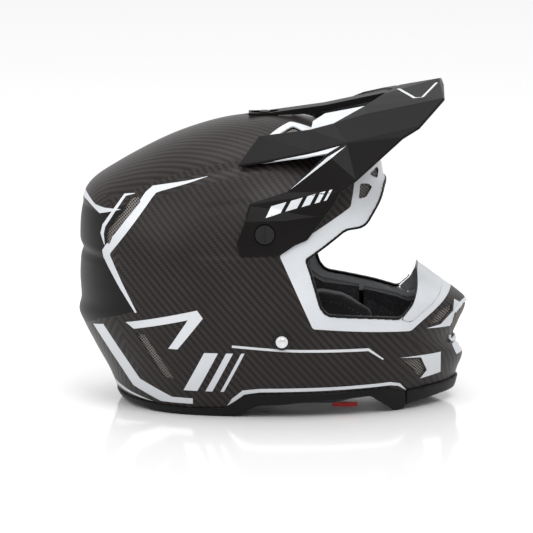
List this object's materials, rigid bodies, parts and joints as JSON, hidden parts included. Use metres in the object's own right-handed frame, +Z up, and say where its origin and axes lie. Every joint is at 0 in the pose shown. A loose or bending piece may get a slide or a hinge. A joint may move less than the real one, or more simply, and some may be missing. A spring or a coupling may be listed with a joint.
{
  "type": "motocross helmet",
  "caption": "Off-road motorcycle helmet with a long chin bar, wide eye opening, tilting peak, foam liners, removable cheek pads and a chin strap with rings.",
  "frame": {"origin": "on the ground, midway between the ends of the helmet and on its middle plane", "axes": "+X the way the wearer faces, +Y the wearer's left, +Z up"},
  "size_m": [0.3391, 0.2526, 0.2819],
  "materials": {
    "carbon_shell": "matt clear coat over carbon twill",
    "trim_rubber": "matt",
    "white_plastic": "satin",
    "vent_mesh": "dark woven wire",
    "liner_foam": "beaded foam",
    "damper_rubber": "translucent elastomer",
    "liner_fabric": "brushed knit",
    "red_webbing": "woven",
    "steel": "satin",
    "peak_plastic": "soft satin",
    "black_screw": "satin",
    "brass": "turned",
    "webbing": "woven"
  },
  "bodies": {
    "helmet": {"shell": "carbon_shell", "eyeport_trim": "trim_rubber", "base_trim": "trim_rubber", "chin_trim": "trim_rubber", "nose_guard": "white_plastic", "mouth_vent_frame": "white_plastic", "crown_intake_frames": "white_plastic", "mouth_vent_mesh": "vent_mesh", "chin_vent_meshes": "vent_mesh", "brow_vent_meshes": "vent_mesh", "crown_intake_meshes": "vent_mesh", "rear_vent_meshes": "vent_mesh", "outer_liner": "liner_foam", "inner_liner": "liner_foam", "chin_bar_liner": "liner_foam", "cheek_block_left": "liner_foam", "cheek_block_right": "liner_foam", "isolation_dampers": "damper_rubber", "comfort_liner": "liner_fabric", "neck_roll": "liner_fabric", "cheek_snaps": "steel", "strap_rivets": "steel", "side_inserts": "brass", "centre_insert": "brass"},
    "peak": {"peak": "peak_plastic", "peak_washers": "trim_rubber"},
    "screw_left": {"peak_screw_left": "black_screw"},
    "screw_right": {"peak_screw_right": "black_screw"},
    "screw_centre": {"peak_centre_screw": "black_screw"},
    "strap_left": {"strap_left": "webbing", "strap_sleeve_left": "liner_fabric", "strap_snap": "black_screw"},
    "strap_right": {"strap_right": "webbing", "strap_sleeve_right": "liner_fabric"},
    "d_rings": {"d_rings": "steel"},
    "cheek_left": {"cheek_pad_left": "liner_fabric", "release_tab_left": "red_webbing"},
    "cheek_right": {"cheek_pad_right": "liner_fabric", "release_tab_right": "red_webbing"}
  },
  "joints": [
    {"name": "peak_tilt", "type": "hinge", "parent": "helmet", "child": "peak", "pos_m": [-0.0067, 0, 0.165], "axis": [0, 1, 0], "range_deg": [-4, 4], "stiffness_Nm_per_rad": 8},
    {"name": "screw_left_turn", "type": "hinge", "parent": "helmet", "child": "screw_left", "pos_m": [-0.0067, 0, 0.165], "axis": [0, 1, 0], "continuous": true},
    {"name": "screw_right_turn", "type": "hinge", "parent": "helmet", "child": "screw_right", "pos_m": [-0.0067, 0, 0.165], "axis": [0, 1, 0], "continuous": true},
    {"name": "screw_centre_turn", "type": "hinge", "parent": "helmet", "child": "screw_centre", "pos_m": [-0.0067, 0, 0.25], "axis": [0, 0, 1], "continuous": true},
    {"name": "strap_left_swing", "type": "hinge", "parent": "helmet", "child": "strap_left", "pos_m": [0.008, 0, 0.071], "axis": [0, 1, 0], "range_deg": [-25, 25]},
    {"name": "strap_right_swing", "type": "hinge", "parent": "helmet", "child": "strap_right", "pos_m": [0.008, 0, 0.071], "axis": [0, 1, 0], "range_deg": [-25, 25]},
    {"name": "d_rings_turn", "type": "hinge", "parent": "strap_right", "child": "d_rings", "pos_m": [0.008, -0.0535, 0.038], "axis": [1, 0, 0], "range_deg": [0, 90]},
    {"name": "cheek_left_slide", "type": "slide", "parent": "helmet", "child": "cheek_left", "axis": [0, 0, -1], "range_m": [0, 0.06], "stiffness_N_per_m": 400},
    {"name": "cheek_right_slide", "type": "slide", "parent": "helmet", "child": "cheek_right", "axis": [0, 0, -1], "range_m": [0, 0.06], "stiffness_N_per_m": 400}
  ]
}
